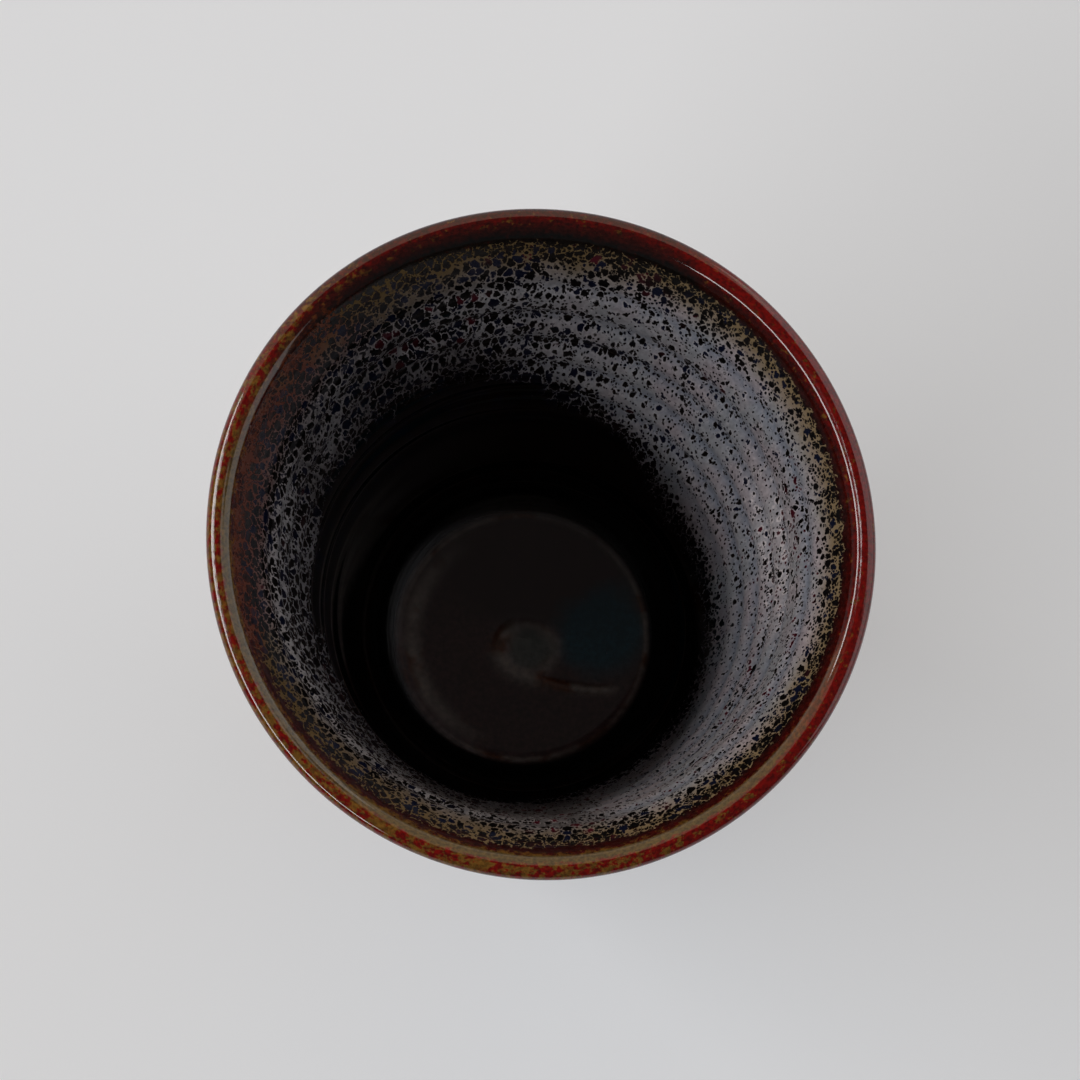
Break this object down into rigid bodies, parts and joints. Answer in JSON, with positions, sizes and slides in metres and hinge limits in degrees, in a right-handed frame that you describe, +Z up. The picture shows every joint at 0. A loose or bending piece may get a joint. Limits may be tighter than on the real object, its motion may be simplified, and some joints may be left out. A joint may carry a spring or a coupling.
{
  "type": "yunomi teacup",
  "caption": "Handleless Japanese stoneware teacup with a tapered thrown wall, flared iron-red lip, dark-spotted grey glaze and a bare clay foot ring; stands on its foot and holds hot tea.",
  "frame": {"origin": "on the table, at the centre of the foot ring", "axes": "+Z up along the cup's axis; X and Y level, with -Y towards the viewer of the picture"},
  "size_m": [0.08, 0.08, 0.092],
  "materials": {
    "bare_stoneware": "unglazed, matt",
    "iron_glaze": "gloss",
    "spotted_glaze": "gloss"
  },
  "bodies": {
    "root": {"clay_body": "bare_stoneware", "foot_ring": "bare_stoneware", "lip_glaze": "iron_glaze", "inner_glaze": "spotted_glaze", "outer_glaze": "spotted_glaze"}
  },
  "joints": []
}
